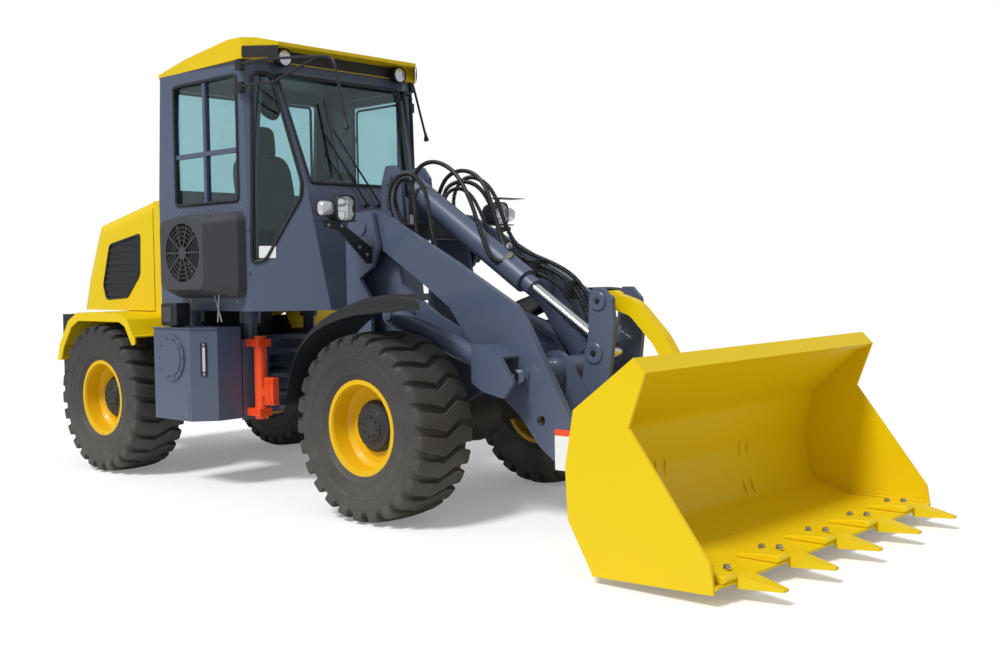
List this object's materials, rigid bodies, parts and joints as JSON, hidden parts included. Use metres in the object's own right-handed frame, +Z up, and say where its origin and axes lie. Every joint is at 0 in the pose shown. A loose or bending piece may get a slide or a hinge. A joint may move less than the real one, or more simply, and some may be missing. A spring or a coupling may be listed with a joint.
{
  "type": "wheel loader",
  "caption": "Compact articulated wheel loader: glazed cab, rear hood, front tower with lift arms, toothed bucket and four lugged tyres.",
  "frame": {"origin": "on the ground, under the middle of the length and width", "axes": "+X forward, +Y to the left, +Z up"},
  "size_m": [6.422, 2.25, 2.9194],
  "materials": {
    "black_metal": "satin",
    "black_plastic": "matte",
    "body_yellow": "gloss",
    "cab_glass": "clear",
    "cast": "rough",
    "chrome_rod": "polished",
    "frame_grey": "satin",
    "lamp": "clear",
    "lock_red": "gloss",
    "rim_yellow": "gloss",
    "seat_fabric": "woven",
    "tyre_rubber": "matte"
  },
  "bodies": {
    "rear_frame": {"rear_frame": "frame_grey", "rear_pivot": "frame_grey", "counterweight": "black_metal", "rear_axle": "cast", "engine_block": "cast", "rear_fenders": "body_yellow", "hydraulic_tank": "frame_grey", "fuel_tank": "frame_grey", "cab_frame": "frame_grey", "cab_floor": "frame_grey", "cab_glass": "cab_glass", "cab_roof": "body_yellow", "roof_lamps": "lamp", "seat": "seat_fabric", "cab_controls": "black_plastic", "ac_condenser": "black_plastic", "mirror_arms": "black_metal", "rear_cowl": "body_yellow", "lock_bar": "lock_red"},
    "hood": {"hood": "body_yellow", "hood_grilles": "black_plastic"},
    "cab_door": {"cab_door": "frame_grey", "door_glass": "cab_glass"},
    "front_frame": {"front_frame": "frame_grey", "front_pivot": "frame_grey", "front_axle": "cast", "front_fenders": "black_plastic", "headlamps": "lamp"},
    "boom": {"boom": "frame_grey"},
    "rocker": {"rocker": "frame_grey"},
    "bucket_link": {"bucket_link": "body_yellow"},
    "bucket": {"bucket": "body_yellow", "bucket_teeth": "body_yellow"},
    "lift_barrels": {"lift_barrels": "frame_grey"},
    "lift_rods": {"lift_rods": "chrome_rod"},
    "tilt_barrel": {"tilt_barrel": "frame_grey"},
    "tilt_rod": {"tilt_rod": "chrome_rod"},
    "steer_barrel_left": {"steer_barrel_left": "frame_grey"},
    "steer_barrel_right": {"steer_barrel_right": "frame_grey"},
    "steer_rod_left": {"steer_rod_left": "chrome_rod"},
    "steer_rod_right": {"steer_rod_right": "chrome_rod"},
    "wheel_front_left": {"tyre_front_left": "tyre_rubber", "rim_front_left": "rim_yellow", "hub_front_left": "cast"},
    "wheel_front_right": {"tyre_front_right": "tyre_rubber", "rim_front_right": "rim_yellow", "hub_front_right": "cast"},
    "wheel_rear_left": {"tyre_rear_left": "tyre_rubber", "rim_rear_left": "rim_yellow", "hub_rear_left": "cast"},
    "wheel_rear_right": {"tyre_rear_right": "tyre_rubber", "rim_rear_right": "rim_yellow", "hub_rear_right": "cast"}
  },
  "joints": [
    {"name": "articulation", "type": "hinge", "parent": "rear_frame", "child": "front_frame", "pos_m": [-0.771, 0, 0.725], "axis": [0, 0, 1], "range_deg": [-35, 35]},
    {"name": "boom_lift", "type": "hinge", "parent": "front_frame", "child": "boom", "pos_m": [0.14, 0, 1.68], "axis": [0, -1, 0], "range_deg": [0, 70]},
    {"name": "bucket_tilt", "type": "hinge", "parent": "boom", "child": "bucket", "pos_m": [2.019, 0, 0.235], "axis": [0, -1, 0], "range_deg": [-90, 20]},
    {"name": "rocker_swing", "type": "hinge", "parent": "boom", "child": "rocker", "pos_m": [1.619, 0, 0.62], "axis": [0, -1, 0], "range_deg": [-88, 21]},
    {"name": "link_swing", "type": "hinge", "parent": "rocker", "child": "bucket_link", "pos_m": [1.7, 0, 1.23], "axis": [0, -1, 0], "range_deg": [-19, 79]},
    {"name": "lift_barrel_swing", "type": "hinge", "parent": "front_frame", "child": "lift_barrels", "pos_m": [0.419, 0, 1.15], "axis": [0, -1, 0], "range_deg": [-1, 77]},
    {"name": "lift_rod_slide", "type": "slide", "parent": "lift_barrels", "child": "lift_rods", "axis": [0.9491, 0, -0.3151], "range_m": [-0.005, 0.689]},
    {"name": "tilt_barrel_swing", "type": "hinge", "parent": "front_frame", "child": "tilt_barrel", "pos_m": [0.049, 0, 2], "axis": [0, -1, 0], "range_deg": [-1, 69]},
    {"name": "tilt_rod_slide", "type": "slide", "parent": "tilt_barrel", "child": "tilt_rod", "axis": [0.8381, 0, -0.5456], "range_m": [-0.378, 0.005]},
    {"name": "cab_door_hinge", "type": "hinge", "parent": "rear_frame", "child": "cab_door", "pos_m": [-1.353, 0.77, 1.98], "axis": [0, 0, 1], "range_deg": [0, 95]},
    {"name": "hood_hinge", "type": "hinge", "parent": "rear_frame", "child": "hood", "pos_m": [-1.947, 0, 1.972], "axis": [0, 1, 0], "range_deg": [0, 50]},
    {"name": "steer_barrel_swing_left", "type": "hinge", "parent": "rear_frame", "child": "steer_barrel_left", "pos_m": [-1.201, 0.185, 0.725], "axis": [0, 0, 1], "range_deg": [-14, 14]},
    {"name": "steer_rod_slide_left", "type": "slide", "parent": "steer_barrel_left", "child": "steer_rod_left", "axis": [0.9907, 0.1358, 0], "range_m": [-0.15, 0.15]},
    {"name": "steer_barrel_swing_right", "type": "hinge", "parent": "rear_frame", "child": "steer_barrel_right", "pos_m": [-1.201, -0.185, 0.725], "axis": [0, 0, 1], "range_deg": [-14, 14]},
    {"name": "steer_rod_slide_right", "type": "slide", "parent": "steer_barrel_right", "child": "steer_rod_right", "axis": [0.9907, -0.1358, 0], "range_m": [-0.15, 0.15]},
    {"name": "wheel_front_left_spin", "type": "hinge", "parent": "front_frame", "child": "wheel_front_left", "pos_m": [0.629, 0.77, 0.5375], "axis": [0, 1, 0], "continuous": true},
    {"name": "wheel_front_right_spin", "type": "hinge", "parent": "front_frame", "child": "wheel_front_right", "pos_m": [0.629, -0.77, 0.5375], "axis": [0, 1, 0], "continuous": true},
    {"name": "wheel_rear_left_spin", "type": "hinge", "parent": "rear_frame", "child": "wheel_rear_left", "pos_m": [-2.171, 0.77, 0.5375], "axis": [0, 1, 0], "continuous": true},
    {"name": "wheel_rear_right_spin", "type": "hinge", "parent": "rear_frame", "child": "wheel_rear_right", "pos_m": [-2.171, -0.77, 0.5375], "axis": [0, 1, 0], "continuous": true}
  ],
  "couplings": [
    {"joint": "rocker_swing", "follows": "bucket_tilt", "ratio": 0.95},
    {"joint": "link_swing", "follows": "bucket_tilt", "ratio": -0.85},
    {"joint": "lift_barrel_swing", "follows": "boom_lift", "ratio": 1.0639},
    {"joint": "lift_rod_slide", "follows": "boom_lift", "m_per_rad": 0.5561},
    {"joint": "tilt_barrel_swing", "follows": "boom_lift", "ratio": 0.9519},
    {"joint": "tilt_rod_slide", "follows": "boom_lift", "m_per_rad": -0.301},
    {"joint": "steer_barrel_swing_left", "follows": "articulation", "ratio": 0.3462},
    {"joint": "steer_rod_slide_left", "follows": "articulation", "m_per_rad": -0.237},
    {"joint": "steer_barrel_swing_right", "follows": "articulation", "ratio": 0.3462},
    {"joint": "steer_rod_slide_right", "follows": "articulation", "m_per_rad": 0.237}
  ]
}
